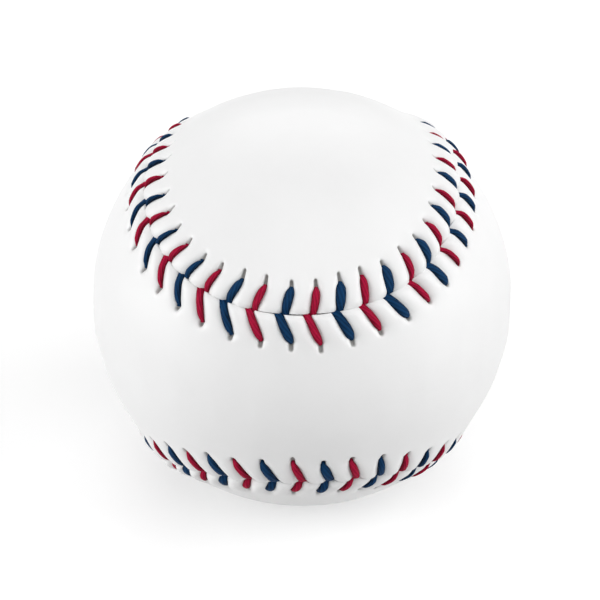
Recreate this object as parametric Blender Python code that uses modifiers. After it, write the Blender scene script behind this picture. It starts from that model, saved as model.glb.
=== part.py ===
"""A sewn baseball: cushioned cork core, four yarn windings, two leather panels and two threads.

Metres, +Z up, origin at the centre of the ball. The front is -Y, where the waist of
cover_panel_front lies with a lobe to its left and right. cover_panel_back has its waist at the
back and a lobe above and below. The seam is one closed curve between the two panels.
"""

import math

import bmesh
import bpy
import numpy as np

# Core
CORK_DIAMETER = 0.0206
CUP_WALL = 0.0034
GASKET_THICKNESS = 0.0012
JACKET_WALL = 0.0030

# Yarn windings, each wound over the one before
FIRST_WINDING = 0.0130
SECOND_WINDING = 0.0014
THIRD_WINDING = 0.0018
FINISHING_WINDING = 0.0007
YARN_CHANNEL_RADIUS = 0.0008

# Leather cover: whole thickness, the pared thickness along its sewn edge, and the seam's shape
LEATHER_THICKNESS = 0.0013
PARED_THICKNESS = 0.0010
WAIST_WIDTH = 0.0341
LOBE_FULLNESS = -0.0241
PARED_RUNOUT = 0.0020

# Stitching: each V has one leg on each panel, and the V's take turns between the two threads.
# The start and the drift along the seam are in stitch pitches.
STITCHES_PER_THREAD = 44
SEAM_START = 0.38
SEAM_DRIFT = 0.22
LEG_REACH = 0.0044
LEG_LEAN = 0.0015
SLIT_TAIL = 0.0007
THREAD_DIAMETER = 0.0009
PRESSED_THREAD = 0.0005
THREAD_TAIL = 0.0020

# Clearances
FIT_GAP = 0.0003
THREAD_CLEARANCE = 0.0002
CROSSING_GAP = 0.0004

# Fineness of the meshes
TURN_STEPS = 20
ARC_STEPS = 8
SEAM_SAMPLES = 7200
SPINE_REACH = math.radians(110)
MERGE_DISTANCE = 0.00001

# Radii that follow from the sizes above
cork_radius = CORK_DIAMETER / 2
cup_inner = cork_radius + FIT_GAP
cup_outer = cup_inner + CUP_WALL
jacket_inner = cup_outer + FIT_GAP
jacket_outer = jacket_inner + JACKET_WALL
winding_radius = jacket_outer
winding_walls = {}
for winding_name, wall in (
    ("first_winding", FIRST_WINDING),
    ("second_winding", SECOND_WINDING),
    ("third_winding", THIRD_WINDING),
    ("finishing_winding", FINISHING_WINDING),
):
    winding_inner = winding_radius + FIT_GAP
    winding_radius = winding_inner + wall
    winding_walls[winding_name] = (winding_inner, winding_radius)
ball_radius = winding_radius + FIT_GAP + LEATHER_THICKNESS

# The thread runs pressed flat between the last winding and the pared edge of the leather.
pressed_radius = PRESSED_THREAD / 2
under_radius = winding_radius + THREAD_CLEARANCE + pressed_radius
seam_radius = under_radius + pressed_radius + THREAD_CLEARANCE + PARED_THICKNESS
tuck_radius = seam_radius + THREAD_CLEARANCE + pressed_radius
crown_radius = seam_radius + THREAD_CLEARANCE + THREAD_DIAMETER / 2
thread_room = pressed_radius + THREAD_CLEARANCE
crossing_step = (PRESSED_THREAD + CROSSING_GAP) / 2
hole_reach = LEG_REACH + thread_room
slit_end = LEG_REACH + 2 * thread_room + SLIT_TAIL
band_end = slit_end + PARED_RUNOUT


def seam_shape(turn):
    """Points of the seam on a unit sphere, for turns from 0 to 2 pi, from the front's top edge."""
    slope = math.tan(WAIST_WIDTH / 2 / ball_radius)
    square = 1 + slope * slope
    spread = LOBE_FULLNESS**2 - square * (LOBE_FULLNESS**2 - slope * slope)
    waist = (LOBE_FULLNESS + math.sqrt(spread)) / square
    wide = (1 + waist) / 2
    narrow = (1 - waist) / 2
    points = np.stack(
        [
            wide * np.sin(turn) + narrow * np.sin(3 * turn) - LOBE_FULLNESS * np.sin(5 * turn),
            -2 * math.sqrt(wide * narrow) * np.cos(2 * turn),
            wide * np.cos(turn) - narrow * np.cos(3 * turn) - LOBE_FULLNESS * np.cos(5 * turn),
        ],
        axis=-1,
    )
    return points / np.linalg.norm(points, axis=-1, keepdims=True)


class Seam:
    """The seam measured along its length, at the radius of the sewn edge."""

    def __init__(self):
        turn = np.linspace(0, 2 * math.pi, SEAM_SAMPLES + 1)
        steps = np.linalg.norm(np.diff(seam_shape(turn), axis=0), axis=1) * seam_radius
        self.along = np.concatenate([[0], np.cumsum(steps)])
        self.length = self.along[-1]
        self.turn = turn

    def frame(self, along):
        """The point of the seam there, and the direction across it to the back panel."""
        turn = np.interp(along % self.length, self.along, self.turn)
        half_step = math.pi / SEAM_SAMPLES
        point = seam_shape(turn)
        heading = seam_shape(turn + half_step) - seam_shape(turn - half_step)
        across = np.cross(point, heading / np.linalg.norm(heading))
        return point, across / np.linalg.norm(across)

    def place(self, along, across, radius):
        """The point at a length along the seam, a distance across it and a radius."""
        point, side = self.frame(along)
        angle = across / seam_radius
        return (math.cos(angle) * point + math.sin(angle) * side) * radius


seam = Seam()
stitch_count = 2 * STITCHES_PER_THREAD
pitch = seam.length / stitch_count


def stitch_place(index):
    """The length along the seam at which a V has its point. Hand sewing drifts by part of a pitch."""
    count = index + SEAM_START
    drift = SEAM_DRIFT * (1 - math.cos(2 * math.pi * count / stitch_count))
    return (count - drift) * pitch


def clear_scene():
    for obj in list(bpy.data.objects):
        bpy.data.objects.remove(obj)


def make_material(name, colour, roughness):
    material = bpy.data.materials.new(name)
    material.use_nodes = True
    shader = material.node_tree.nodes["Principled BSDF"]
    shader.inputs["Base Color"].default_value = (*colour, 1)
    shader.inputs["Roughness"].default_value = roughness
    shader.inputs["Metallic"].default_value = 0
    return material


def add_object(name, data, material, collection):
    obj = bpy.data.objects.new(name, data)
    data.materials.append(material)
    collection.objects.link(obj)
    return obj


def arc(radius, first_angle, last_angle):
    """Profile points of a round shell, from one angle to another below +Z, on shared angles."""
    shared = [k * math.pi / ARC_STEPS for k in range(1, ARC_STEPS)]
    between = [a for a in shared if first_angle < a < last_angle]
    angles = [first_angle, *between, last_angle]
    return [(radius * math.sin(a), radius * math.cos(a)) for a in angles]


def sweep_round(obj):
    screw = obj.modifiers.new("turn", "SCREW")
    screw.steps = TURN_STEPS
    screw.render_steps = TURN_STEPS
    screw.use_merge_vertices = True
    screw.merge_threshold = MERGE_DISTANCE
    screw.use_smooth_shade = True


def turn_profile(name, profile, closed, material, collection):
    """A turned piece: a profile that runs down its outer side, swept round Z."""
    mesh = bpy.data.meshes.new(name)
    ends = [(k, k + 1) for k in range(len(profile) - 1)]
    if closed:
        ends.append((len(profile) - 1, 0))
    mesh.from_pydata([(x, 0, z) for x, z in profile], ends, [])
    obj = add_object(name, mesh, material, collection)
    sweep_round(obj)
    return obj


def shell_profile(inner, outer, inner_start, outer_start):
    """The profile of a shell that is open at its top, up its inner side and down its outer side."""
    inside = arc(inner, inner_start, math.pi)[::-1]
    outside = arc(outer, outer_start, math.pi)
    return inside + outside


def half_shells(name, inner, outer, rim, material, collection):
    """Two half shells whose rims lie at a height below and above the middle."""
    profile = shell_profile(inner, outer, math.acos(-rim / inner), math.acos(-rim / outer))
    lower = turn_profile(name + "_lower", profile, False, material, collection)
    upper = bpy.data.objects.new(name + "_upper", lower.data)
    collection.objects.link(upper)
    upper.rotation_euler.x = math.pi
    sweep_round(upper)


def make_core(collection):
    cork = make_material("cork composition", (0.42, 0.24, 0.11), 0.85)
    black_rubber = make_material("black rubber", (0.02, 0.02, 0.02), 0.6)
    red_rubber = make_material("red rubber", (0.45, 0.05, 0.03), 0.6)
    turn_profile("cork_core", arc(cork_radius, 0, math.pi), False, cork, collection)
    half_gasket = GASKET_THICKNESS / 2
    half_shells("core_cup", cup_inner, cup_outer, half_gasket + FIT_GAP, black_rubber, collection)
    washer = [
        (cup_inner, half_gasket),
        (cup_outer, half_gasket),
        (cup_outer, -half_gasket),
        (cup_inner, -half_gasket),
    ]
    turn_profile("core_gasket", washer, True, red_rubber, collection)
    half_shells("core_jacket", jacket_inner, jacket_outer, FIT_GAP / 2, red_rubber, collection)


def make_windings(collection):
    """Yarn shells. The yarn's tail leaves each through a narrow channel at the top."""
    grey_wool = make_material("grey wool yarn", (0.3, 0.3, 0.31), 0.95)
    white_wool = make_material("white wool yarn", (0.75, 0.73, 0.68), 0.95)
    white_thread = make_material("fine white thread", (0.8, 0.79, 0.76), 0.9)
    finishes = {
        "first_winding": grey_wool,
        "second_winding": white_wool,
        "third_winding": grey_wool,
        "finishing_winding": white_thread,
    }
    for name, (inner, outer) in winding_walls.items():
        channel_inner = math.asin(YARN_CHANNEL_RADIUS / inner)
        channel_outer = math.asin(YARN_CHANNEL_RADIUS / outer)
        profile = shell_profile(inner, outer, channel_inner, channel_outer)
        turn_profile(name, profile, False, finishes[name], collection)


class Spine:
    """The middle line of a panel, which runs from lobe to lobe through its waist, cut in even steps.

    A step is a whole part of a quarter turn and no shorter than the ribs' own steps beside it, so
    that neighbouring ribs end at one point of the line or at two next to each other.
    """

    def __init__(self, centre, spread):
        self.centre = centre
        self.spread = spread
        beside = [self.angle(stitch_place(k) + LEG_LEAN) for k in range(stitch_count + 1)]
        widest = np.abs(np.diff(np.unwrap(beside))).max()
        quarter = math.pi / 2
        self.step = quarter / math.floor(quarter / widest)
        self.last = math.floor(SPINE_REACH / self.step)

    def angle(self, along):
        point = seam.frame(along)[0]
        return math.atan2(point @ self.spread, point @ self.centre)

    def nearest(self, along):
        """The point of the line that serves the rib at this length along the seam."""
        number = math.floor(self.angle(along) / self.step + 0.5)
        angle = min(max(number, -self.last), self.last) * self.step
        return math.cos(angle) * self.centre + math.sin(angle) * self.spread


def great_arc(start, end, share):
    """A unit vector part of the way from one unit vector to another."""
    angle = math.acos(float(np.clip(start @ end, -1, 1)))
    return (math.sin((1 - share) * angle) * start + math.sin(share * angle) * end) / math.sin(angle)


def panel_rib(index, hand, spine):
    """Points across half a panel beside one edge of a slit, from the seam to the middle line.

    Each V has two ribs, one on each side of its slit. They meet where the pared band ends.
    """
    stitch, far_edge = divmod(index, 2)
    middle = stitch_place(stitch) + LEG_LEAN
    edge = middle + (2 * far_edge - 1) * thread_room
    points = [
        seam.place(edge, hand * across, seam_radius)
        for across in (thread_room, LEG_REACH, slit_end)
    ]
    whole = seam.place(middle, hand * band_end, 1)
    on_spine = spine.nearest(middle)
    points.append(whole * ball_radius)
    points += [great_arc(whole, on_spine, share) * ball_radius for share in (1 / 3, 2 / 3)]
    points.append(on_spine * ball_radius)
    return points


def make_panel(name, hand, spine, material, collection):
    """One leather panel: a sheet on the ball from ribs square to the seam, with its slits open."""
    count = 2 * stitch_count
    ribs = [panel_rib(k, hand, spine) for k in range(count)]
    rows = len(ribs[0])
    slit_row = 1
    pared_rows = 3
    thickest = max(PARED_THICKNESS, LEATHER_THICKNESS)
    bm = bmesh.new()
    bmesh.ops.create_grid(bm, x_segments=count, y_segments=rows - 1, size=1)
    weights = bm.verts.layers.deform.verify()
    places = {}
    for vert in bm.verts:
        rib = round((vert.co.x + 1) / 2 * count)
        row = round((vert.co.y + 1) / 2 * (rows - 1))
        places[vert] = (rib, row)
        vert.co = ribs[rib % count][row]
        thickness = PARED_THICKNESS if row < pared_rows else LEATHER_THICKNESS
        vert[weights][0] = thickness / thickest
    slits = []
    for face in bm.faces:
        first_rib = min(places[vert][0] for vert in face.verts)
        first_row = min(places[vert][1] for vert in face.verts)
        if first_row == slit_row and first_rib % 2 == 0:
            slits.append(face)
    bmesh.ops.delete(bm, geom=slits, context="FACES_ONLY")
    bmesh.ops.remove_doubles(bm, verts=bm.verts, dist=MERGE_DISTANCE)
    if hand < 0:
        bmesh.ops.reverse_faces(bm, faces=bm.faces)
    mesh = bpy.data.meshes.new(name)
    bm.to_mesh(mesh)
    bm.free()
    mesh.shade_smooth()
    panel = add_object(name, mesh, material, collection)
    panel.vertex_groups.new(name="thickness")
    wall = panel.modifiers.new("leather", "SOLIDIFY")
    wall.thickness = thickest
    wall.offset = -1
    wall.vertex_group = "thickness"


def thread_route(first_stitch):
    """Points and thicknesses of one thread, from its tucked start to its tucked end.

    Each V comes up through the front panel's slit, crosses to the seam, goes down between the
    panels and under the back panel, comes up through its slit, crosses back to the seam and goes
    under the front panel to its own next V.
    """
    start = stitch_place(first_stitch) + LEG_LEAN
    points = [seam.place(start - THREAD_TAIL, -hole_reach, under_radius)]
    sizes = [PRESSED_THREAD]
    for index in range(first_stitch, stitch_count, 2):
        apex = stitch_place(index)
        hole = apex + LEG_LEAN
        for hand in (-1, 1):
            crossing = apex + hand * crossing_step
            halfway = (hole + crossing) / 2
            points += [
                seam.place(hole, hand * hole_reach, under_radius),
                seam.place(hole, hand * hole_reach, tuck_radius),
                seam.place(halfway, hand * hole_reach / 2, crown_radius),
                seam.place(crossing, 0, tuck_radius),
                seam.place(crossing, 0, under_radius),
            ]
            sizes += [PRESSED_THREAD, PRESSED_THREAD, THREAD_DIAMETER, PRESSED_THREAD, PRESSED_THREAD]
        next_hole = stitch_place(index + 2) + LEG_LEAN
        points.append(seam.place((crossing + next_hole) / 2, -hole_reach / 2, under_radius))
        sizes.append(PRESSED_THREAD)
    return points, sizes


def make_thread(name, first_stitch, material, collection):
    points, sizes = thread_route(first_stitch)
    curve = bpy.data.curves.new(name, "CURVE")
    curve.dimensions = "3D"
    curve.bevel_depth = pressed_radius
    curve.bevel_resolution = 0
    curve.use_fill_caps = True
    spline = curve.splines.new("POLY")
    spline.points.add(len(points) - 1)
    for knot, point, size in zip(spline.points, points, sizes):
        knot.co = (*point, 1)
        knot.radius = size / PRESSED_THREAD
    add_object(name, curve, material, collection)


def make_cover(collection):
    leather = make_material("white leather", (0.87, 0.86, 0.83), 0.45)
    red_thread = make_material("red waxed thread", (0.5, 0.01, 0.04), 0.5)
    blue_thread = make_material("dark blue waxed thread", (0.01, 0.04, 0.13), 0.5)
    left_to_right = np.array([1.0, 0.0, 0.0])
    front_to_back = np.array([0.0, 1.0, 0.0])
    upwards = np.array([0.0, 0.0, 1.0])
    make_panel("cover_panel_front", -1, Spine(-front_to_back, left_to_right), leather, collection)
    make_panel("cover_panel_back", 1, Spine(front_to_back, upwards), leather, collection)
    make_thread("thread_red", 0, red_thread, collection)
    make_thread("thread_blue", 1, blue_thread, collection)


def main():
    clear_scene()
    ball = bpy.data.collections.new("baseball")
    bpy.context.scene.collection.children.link(ball)
    make_core(ball)
    make_windings(ball)
    make_cover(ball)
    print(f"ball diameter {2000 * ball_radius:.2f} mm, seam {1000 * seam.length:.1f} mm")
    print(f"stitch pitch {1000 * pitch:.2f} mm, sewn edge {2000 * seam_radius:.2f} mm across")


main()
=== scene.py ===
# %% [markdown]
# # A sewn baseball
#
# Two leather panels of one shape wrap a wound ball, and two waxed threads lace them together along
# one closed seam. The CAD model holds every piece at its real size. This lesson gives the cover and
# the threads their soft form, gives every piece its finish, and photographs the ball.
#
# The imported model comes in first as a fixed frame.

# %% Load the imported ball
import math

import bpy
import numpy as np
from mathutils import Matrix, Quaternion, Vector


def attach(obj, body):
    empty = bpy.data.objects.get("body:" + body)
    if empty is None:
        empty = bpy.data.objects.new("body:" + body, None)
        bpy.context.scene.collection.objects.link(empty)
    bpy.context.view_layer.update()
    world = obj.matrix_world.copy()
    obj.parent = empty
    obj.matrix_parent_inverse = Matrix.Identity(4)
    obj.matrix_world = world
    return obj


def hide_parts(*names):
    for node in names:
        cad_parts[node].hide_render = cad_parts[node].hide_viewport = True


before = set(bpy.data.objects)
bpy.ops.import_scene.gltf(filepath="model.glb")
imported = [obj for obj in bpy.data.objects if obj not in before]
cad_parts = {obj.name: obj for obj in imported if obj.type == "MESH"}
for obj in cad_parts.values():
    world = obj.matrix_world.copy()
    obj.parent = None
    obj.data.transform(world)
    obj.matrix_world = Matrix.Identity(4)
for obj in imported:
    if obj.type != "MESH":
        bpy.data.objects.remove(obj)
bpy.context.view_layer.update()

# %% [markdown]
# ## Camera
#
# The photograph looks down on the ball from the front, at about a third of a right angle. A long lens
# ten ball radii away gives the same perspective, so that as much of the top shows as in the
# photograph. A small roll and shift finish the framing.

# %% Camera at the photograph's viewing angle
MM = 0.001
BALL_RADIUS = 37.0
VIEW_AZIMUTH = math.radians(0.78)
VIEW_ELEVATION = math.radians(31.0)
VIEW_ROLL = math.radians(-0.38)
VIEW_RADII = 10
SENSOR_WIDTH = 36
LENS_LENGTH = 125.15
SHIFT_RIGHT, SHIFT_UP = -0.0034, -0.0060

towards_camera = Vector(
    (
        math.sin(VIEW_AZIMUTH) * math.cos(VIEW_ELEVATION),
        -math.cos(VIEW_AZIMUTH) * math.cos(VIEW_ELEVATION),
        math.sin(VIEW_ELEVATION),
    )
)
bpy.ops.object.select_all(action="DESELECT")
bpy.ops.object.camera_add(location=towards_camera * VIEW_RADII * BALL_RADIUS * MM)
camera = bpy.context.object
camera.rotation_mode = "QUATERNION"
level_view = (-towards_camera).to_track_quat("-Z", "Y")
camera.rotation_quaternion = level_view @ Quaternion((0, 0, 1), VIEW_ROLL)
camera.data.sensor_width = SENSOR_WIDTH
camera.data.lens = LENS_LENGTH
camera.data.shift_x = SHIFT_RIGHT
camera.data.shift_y = SHIFT_UP
camera.data.clip_start = 10 * MM
bpy.context.scene.camera = camera
print(f"camera {camera.location.length * 1000:.0f} mm from the centre of the ball")

# %% [markdown]
# ## Colours and nodes
#
# Colours are picked on screen as sRGB hex values, and shaders want linear light, so one function
# turns one into the other. A second small function adds a shader node with its settings, its input
# values and its links, which keeps each finish below readable as a recipe.

# %% Helpers for colours and shader nodes
bpy.context.scene.view_settings.view_transform = "Standard"


def linear(hex_colour):
    """An sRGB hex value as linear red, green, blue and alpha."""
    parts = [int(hex_colour[k : k + 2], 16) / 255 for k in (1, 3, 5)]
    return (*[p / 12.92 if p < 0.04045 else ((p + 0.055) / 1.055) ** 2.4 for p in parts], 1)


def add_node(tree, kind, values=None, links=None, **settings):
    """Adds a node to a tree, sets its properties and input values, and links its inputs."""
    node = tree.nodes.new(kind)
    for name, value in settings.items():
        setattr(node, name, value)
    for socket, value in (values or {}).items():
        node.inputs[socket].default_value = value
    for socket, source in (links or {}).items():
        tree.links.new(source, node.inputs[socket])
    return node


def start_material(name, roughness, ior):
    """A new material with its node tree and its Principled shader."""
    material = bpy.data.materials.new(name)
    material.use_nodes = True
    shader = material.node_tree.nodes["Principled BSDF"]
    shader.inputs["Roughness"].default_value = roughness
    shader.inputs["IOR"].default_value = ior
    return material, material.node_tree, shader


print("view transform", bpy.context.scene.view_settings.view_transform)

# %% [markdown]
# ## Studio
#
# The ball was lit as small goods usually are, by soft boxes all round: above the camera, low on each
# side, high on the right, and behind. The floor is white paper, which throws some of their light back
# up, and the room itself is dim, so the lower front lies in soft shade. Seen straight by the camera,
# paper and room are topped up to white. The top-up is weaker near the ball, so that its shadow
# stays on the paper.

# %% Floor, in metres
FLOOR_SIDE = 6.0
PAPER_TOP_UP = 0.44
WHITE_FROM, WHITE_BY = 0.18, 0.36


def seen_rays(tree):
    """A socket that is 1 for rays from the camera, a reflection or a clear piece, and 0 for light."""
    light_path = add_node(tree, "ShaderNodeLightPath")
    glossy_or_clear = add_node(
        tree,
        "ShaderNodeMath",
        links={0: light_path.outputs["Is Glossy Ray"], 1: light_path.outputs["Is Transmission Ray"]},
        operation="MAXIMUM",
    )
    seen = add_node(
        tree,
        "ShaderNodeMath",
        links={0: light_path.outputs["Is Camera Ray"], 1: glossy_or_clear.outputs[0]},
        operation="MAXIMUM",
    )
    return seen.outputs[0]


bpy.ops.object.select_all(action="DESELECT")
bpy.ops.mesh.primitive_plane_add(size=FLOOR_SIDE, location=(0, 0, -BALL_RADIUS * MM))
floor = bpy.context.object
floor.name = "paper_floor"
paper = bpy.data.materials.new("white_paper")
paper.use_nodes = True
tree = paper.node_tree
tree.nodes.clear()
place = add_node(tree, "ShaderNodeTexCoord")
from_ball = add_node(
    tree, "ShaderNodeVectorMath", links={0: place.outputs["Object"]}, operation="LENGTH"
)
whitening = add_node(
    tree,
    "ShaderNodeMapRange",
    {"From Min": WHITE_FROM, "From Max": WHITE_BY, "To Min": PAPER_TOP_UP, "To Max": 1.0},
    {"Value": from_ball.outputs["Value"]},
)
top_up = add_node(
    tree, "ShaderNodeMath", links={0: whitening.outputs[0], 1: seen_rays(tree)}, operation="MULTIPLY"
)
glow = add_node(
    tree, "ShaderNodeEmission", {"Color": linear("#FFFFFF")}, {"Strength": top_up.outputs[0]}
)
sheet = add_node(tree, "ShaderNodeBsdfDiffuse", {"Color": linear("#DADADA")})
both = add_node(tree, "ShaderNodeAddShader", links={0: glow.outputs[0], 1: sheet.outputs[0]})
add_node(tree, "ShaderNodeOutputMaterial", links={"Surface": both.outputs[0]})
floor.data.materials.append(paper)
print(f"floor {FLOOR_SIDE:.0f} m square at {1000 * floor.location.z:.1f} mm")

# %% Surroundings and soft boxes, in metres and watts
ROOM_LIGHT = 0.03
SOFT_BOXES = {
    "camera": {"place": (0.0, -0.45, 0.65), "power": 2.5},
    "left": {"place": (-0.75, -0.20, 0.10), "power": 5.4},
    "right": {"place": (0.75, -0.20, 0.10), "power": 2.95},
    "right_high": {"place": (0.60, -0.20, 0.55), "power": 2.4},
    "back": {"place": (0.0, 0.50, 0.50), "power": 2.0},
}
SOFT_BOX_SIDE = 0.6

room = bpy.data.worlds.new("white_room")
bpy.context.scene.world = room
room.use_nodes = True
tree = room.node_tree
tree.nodes.clear()
strength = add_node(
    tree,
    "ShaderNodeMapRange",
    {"To Min": ROOM_LIGHT, "To Max": 1.0},
    {"Value": seen_rays(tree)},
)
walls = add_node(
    tree, "ShaderNodeBackground", {"Color": linear("#FFFFFF")}, {"Strength": strength.outputs[0]}
)
add_node(tree, "ShaderNodeOutputWorld", links={"Surface": walls.outputs[0]})

for name, box in SOFT_BOXES.items():
    bpy.ops.object.light_add(type="AREA", location=box["place"])
    lamp = bpy.context.object
    lamp.name = name + "_soft_box"
    lamp.rotation_euler = (-Vector(box["place"])).to_track_quat("-Z", "Y").to_euler()
    lamp.data.size = SOFT_BOX_SIDE
    lamp.data.energy = box["power"]
print(f"{len(SOFT_BOXES)} soft boxes, room light {ROOM_LIGHT}")

# %% [markdown]
# ## The seam
#
# The seam is one closed curve that sweeps between the front and the back of the ball four times, so
# that both panels come out alike. It is drawn here by the same formula as in the CAD model: two
# harmonics give the curve of a common ball, and a third fills out the lobes. The width of the waist,
# where the two sides of a panel come closest, sets the first two.
#
# Leather and thread are then placed by three measures, as a saddler would: how far along the seam,
# how far across it, and how high. Along the seam counts from the top of the front, to the right.
# Across it, plus is the back panel and minus the front one. From here on, lengths are in millimetres.

# %% The seam's curve
SEWN_RADIUS = 37.3
WAIST_WIDTH = 34.1
LOBE_FULLNESS = -0.0241
SEAM_SAMPLES = 7200

slope = math.tan(WAIST_WIDTH / 2 / BALL_RADIUS)
square = 1 + slope**2
waist = (LOBE_FULLNESS + math.sqrt(LOBE_FULLNESS**2 - square * (LOBE_FULLNESS**2 - slope**2))) / square
wide = (1 + waist) / 2
narrow = (1 - waist) / 2


def unit(vectors):
    """The same vectors, each one unit long."""
    return vectors / np.linalg.norm(vectors, axis=-1, keepdims=True)


def seam_shape(turn):
    """Points of the seam on a unit ball, for turns from 0 to 2 pi."""
    x = wide * np.sin(turn) + narrow * np.sin(3 * turn) - LOBE_FULLNESS * np.sin(5 * turn)
    y = -2 * math.sqrt(wide * narrow) * np.cos(2 * turn)
    z = wide * np.cos(turn) - narrow * np.cos(3 * turn) - LOBE_FULLNESS * np.cos(5 * turn)
    return unit(np.stack([x, y, z], axis=-1))


seam_turn = np.linspace(0, 2 * math.pi, SEAM_SAMPLES + 1)
seam_steps = np.linalg.norm(np.diff(seam_shape(seam_turn), axis=0), axis=1) * SEWN_RADIUS
seam_along = np.concatenate([[0], np.cumsum(seam_steps)])
seam_length = seam_along[-1]


def seam_frame(along):
    """At each length along the seam: the unit vector there, along the seam and across it."""
    turn = np.interp(along % seam_length, seam_along, seam_turn)
    half_step = math.pi / SEAM_SAMPLES
    point = seam_shape(turn)
    heading = unit(seam_shape(turn + half_step) - seam_shape(turn - half_step))
    return point, heading, unit(np.cross(point, heading))


def on_ball(along, across, radius):
    """Points at a length along the seam, a distance across it and a radius."""
    along, across, radius = np.broadcast_arrays(along, across, radius)
    point, _, across_seam = seam_frame(along)
    angle = (across / SEWN_RADIUS)[..., None]
    return (np.cos(angle) * point + np.sin(angle) * across_seam) * radius[..., None]


print(f"seam {seam_length:.1f} mm long")

# %% [markdown]
# ## Stitches
#
# Each stitch is a V. On either panel a leg runs from the seam to a slit that the needle went through,
# and the two legs go down in the seam side by side. One V could be modelled and copied round the seam,
# but hand sewing is never quite even. So every leg gets numbers of its own here, and the leather and
# the threads are both shaped from them later.
#
# A fixed random seed makes each leg a little different from the next. What changes slowly along the
# seam mostly follows three measures: how low on the ball a stitch is, whether the seam runs away from
# the front there or comes back to it, and whether it is on the slack stretch at the upper right.

# %% Where each stitch is on the ball
# The panel on either hand of the seam, as the sign of the distance across it.
FRONT, BACK = -1, 1
STITCHES = 88
FIRST_STITCH = 0.38
SLACK_MIDDLE, SLACK_LENGTH = 11.5, 4.5
# Crossing and bow are uneven by so many millimetres, the rest by such a share.
UNEVENNESS = {
    "crossing": 0.12,
    "lean": 0.15,
    "reach": 0.05,
    "slit": 0.22,
    "pull": 0.25,
    "puff": 0.22,
    "width": 0.07,
    "bow": 0.12,
}


def ease(start, end, value):
    """0 up to the start, 1 from the end on and smooth between."""
    share = np.clip((value - start) / (end - start), 0, 1)
    return share * share * (3 - 2 * share)


pitch = seam_length / STITCHES
stitch_number = np.arange(STITCHES)
stitch_count = stitch_number + FIRST_STITCH
seam_angle = 2 * math.pi * stitch_count / STITCHES
# Lowness is 0 at the top of the front and 1 at its bottom.
lowness = 0.5 - 0.5 * np.cos(seam_angle)
# Away is 1 halfway from the front to the back, 0 at the four bends and -1 halfway from back to front.
away = np.sin(2 * seam_angle)
low_left = lowness * ease(0, 1, away)
low_right = lowness * ease(0, 1, -away)
slack = np.exp(-(((stitch_count - SLACK_MIDDLE) / SLACK_LENGTH) ** 2))
chance = np.random.default_rng(seed=11)
uneven = {
    hand: {size: spread * chance.uniform(-1, 1, STITCHES) for size, spread in UNEVENNESS.items()}
    for hand in (FRONT, BACK)
}
print(f"{STITCHES} stitches, {pitch:.2f} mm apart")

# %% [markdown]
# ## The line of a leg
#
# A leg starts at its crossing in the seam, leans along the seam and ends at its hole. The whole row
# drifts by part of a stitch on its way down the ball. At the upper left and the upper right the back
# panel has slipped along the front one, and its holes went with it. On the slack stretch the legs lose
# their lean, most on the front panel. Low on either side the front legs lean less and the back ones
# more. Legs on the outer side of a bend are longer, and so are the front legs low on the ball.

# %% Crossing, hole and reach of each leg
ROW_DRIFT = 0.44
SLACK_SHIFT = 0.4
LEFT_SLIP, LEFT_SLIP_STARTS, LEFT_SLIP_ENDS = -0.8, (64, 74), (86.4, 87.3)
RIGHT_SLIP, RIGHT_SLIP_STARTS, RIGHT_SLIP_ENDS = 0.7, (3.2, 4.4), (14, 24)
CROSSING_SLIP = 0.7
HOLE_SLIP = {FRONT: 0.0, BACK: 1.0}
CROSSING_STEP = 0.36
STEP_CHANGE = 0.45
LOW_RIGHT_CROSSING = {FRONT: 0.95, BACK: -0.9}
LEG_LEAN = 1.55
SLACK_LEAN = {FRONT: 2.2, BACK: 0.8}
LOW_LEFT_LEAN = {FRONT: -1.55, BACK: 1.1}
LOW_RIGHT_LEAN = {FRONT: -0.6, BACK: 1.1}
LEG_REACH = 4.55
USUAL_STRETCH = 0.96
LOW_STRETCH = 0.15
BEND_STRETCH = 0.055
SIDE_STRETCH = 0.06
LOW_LEFT_STRETCH = {FRONT: 0.0, BACK: -0.12}
LOW_RIGHT_STRETCH = {FRONT: 0.0, BACK: 0.22}


def on_stretch(starts, ends):
    """1 on a stretch of the seam and 0 off it. Either end fades from one stitch count to another."""
    return ease(*starts, stitch_count) - ease(*ends, stitch_count)


left_slip = LEFT_SLIP * on_stretch(LEFT_SLIP_STARTS, LEFT_SLIP_ENDS)
right_slip = RIGHT_SLIP * on_stretch(RIGHT_SLIP_STARTS, RIGHT_SLIP_ENDS)
slip = left_slip + right_slip
apex = (stitch_count - ROW_DRIFT * lowness) * pitch - SLACK_SHIFT * slack
crossing_step = CROSSING_STEP * (1 - STEP_CHANGE * away)
legs = {FRONT: {}, BACK: {}}
for hand, leg in legs.items():
    lean = LEG_LEAN * (1 + uneven[hand]["lean"]) - SLACK_LEAN[hand] * slack
    lean += LOW_LEFT_LEAN[hand] * low_left + LOW_RIGHT_LEAN[hand] * low_right
    stretch = USUAL_STRETCH - hand * (LOW_STRETCH * lowness + BEND_STRETCH * np.cos(2 * seam_angle))
    stretch += SIDE_STRETCH * away * (1 - away)
    stretch += LOW_LEFT_STRETCH[hand] * low_left + LOW_RIGHT_STRETCH[hand] * low_right
    leg["crossing"] = apex + CROSSING_SLIP * slip + hand * crossing_step + uneven[hand]["crossing"]
    leg["crossing"] += LOW_RIGHT_CROSSING[hand] * low_right
    leg["hole"] = apex + HOLE_SLIP[hand] * slip + lean
    leg["reach"] = LEG_REACH * stretch * (1 + uneven[hand]["reach"])
    leg["bow"] = uneven[hand]["bow"]
reaches = np.concatenate([leg["reach"] for leg in legs.values()])
print(f"legs end {reaches.min():.1f} to {reaches.max():.1f} mm from the seam")

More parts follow.
